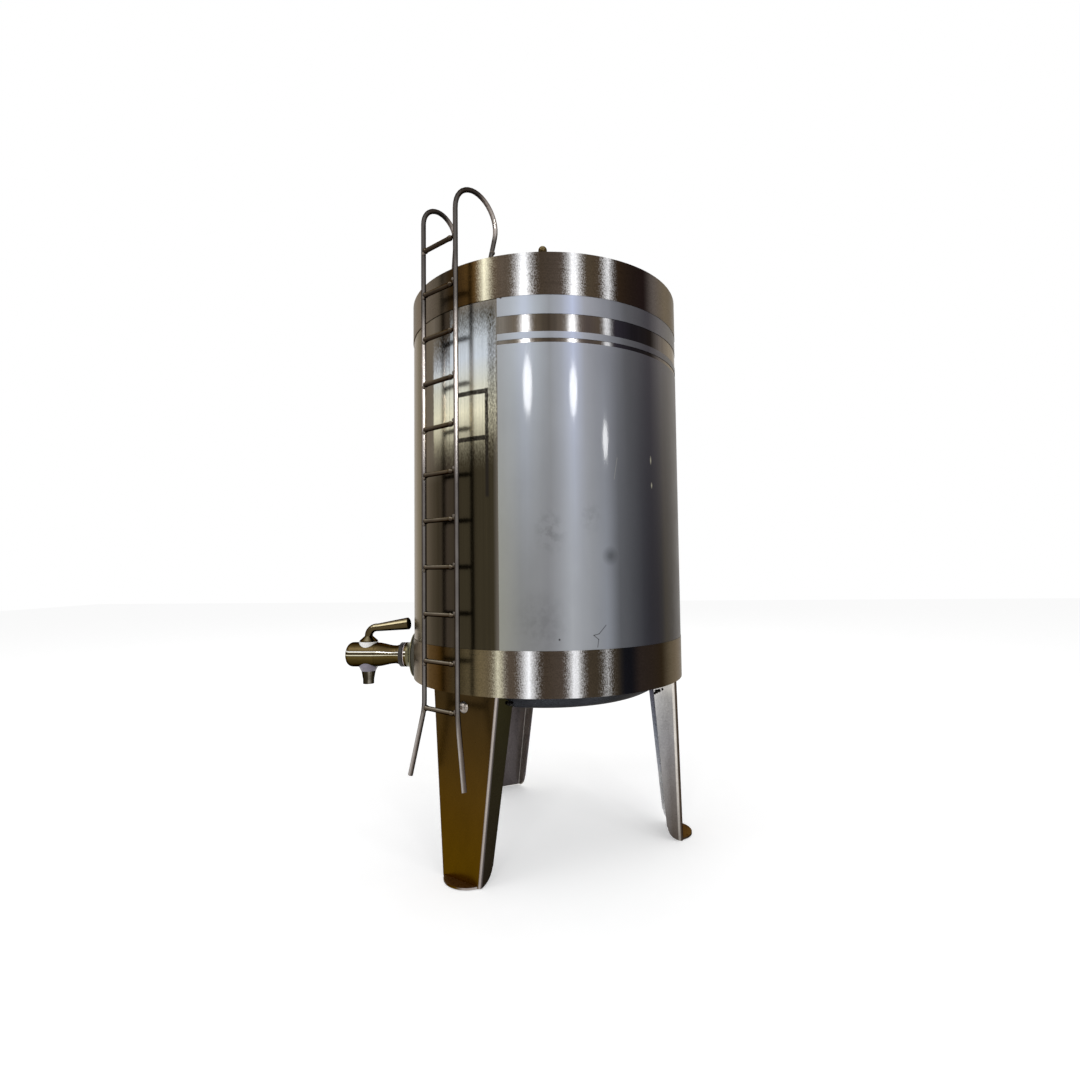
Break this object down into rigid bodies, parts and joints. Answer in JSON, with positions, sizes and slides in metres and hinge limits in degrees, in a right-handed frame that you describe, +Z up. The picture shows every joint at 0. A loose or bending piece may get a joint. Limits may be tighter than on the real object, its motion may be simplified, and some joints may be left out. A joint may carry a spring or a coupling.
{
  "type": "stainless steel tank",
  "caption": "Upright cylindrical steel tank on sheet-metal channel legs, with a drinks tap low on its wall, a wire ladder hooked over the rim and a loose conical lid with a ball knob.",
  "frame": {"origin": "point on the floor under the tank's vertical axis", "axes": "+Z up along the tank's axis, the tap points along -Y, +X to the right of someone facing the tap"},
  "size_m": [0.2593, 0.3293, 0.5618],
  "materials": {
    "brushed_shell": "vertical brushed grain",
    "dull_sheet": "mill finish, dull",
    "bright_sheet": "satin",
    "band_steel": "horizontal brushed grain",
    "grey_film": "satin grey film",
    "leg_steel": "blasted sheet, satin",
    "wire_steel": "drawn wire, satin",
    "zinc_fastener": "bright fastener",
    "polished_steel": "polished",
    "black_rubber": "matt",
    "dark_ring": "satin",
    "white_plastic": "smooth",
    "grey_plastic": "smooth"
  },
  "bodies": {
    "tank": {"tank_shell": "brushed_shell", "tank_bottom": "dull_sheet", "tank_roof": "bright_sheet", "hatch_collar": "bright_sheet", "top_band": "band_steel", "bottom_band": "band_steel", "side_film": "grey_film", "leg_right": "leg_steel", "leg_left": "leg_steel", "leg_back": "leg_steel", "leg_lugs": "dull_sheet", "leg_screws": "zinc_fastener", "leg_washers": "zinc_fastener", "leg_nuts": "zinc_fastener", "ladder_rail_left": "wire_steel", "ladder_rail_right": "wire_steel", "ladder_rungs": "wire_steel", "tap_flange": "polished_steel", "wall_gasket_outer": "black_rubber", "wall_gasket_inner": "black_rubber", "tap_shank": "polished_steel", "shank_washer": "zinc_fastener", "shank_nut": "zinc_fastener", "tap_collar": "polished_steel", "tap_washer": "white_plastic", "tap_ring": "dark_ring", "tap_body": "polished_steel", "plug_seal_upper": "black_rubber", "plug_seal_lower": "black_rubber", "lever_seat": "white_plastic", "nozzle_ring": "grey_plastic", "nozzle": "polished_steel"},
    "valve": {"tap_lever": "polished_steel", "tap_plug": "white_plastic"},
    "lid": {"lid": "bright_sheet", "lid_gasket": "black_rubber", "lid_knob": "polished_steel", "knob_washer": "zinc_fastener", "knob_screw": "zinc_fastener"}
  },
  "joints": [
    {"name": "lever_turn", "type": "hinge", "parent": "tank", "child": "valve", "pos_m": [0, -0.1765, 0.1615], "axis": [0, 0, 1], "range_deg": [-90, 90]},
    {"name": "lid_lift", "type": "slide", "parent": "tank", "child": "lid", "axis": [0, 0, 1], "range_m": [0, 0.06]}
  ]
}
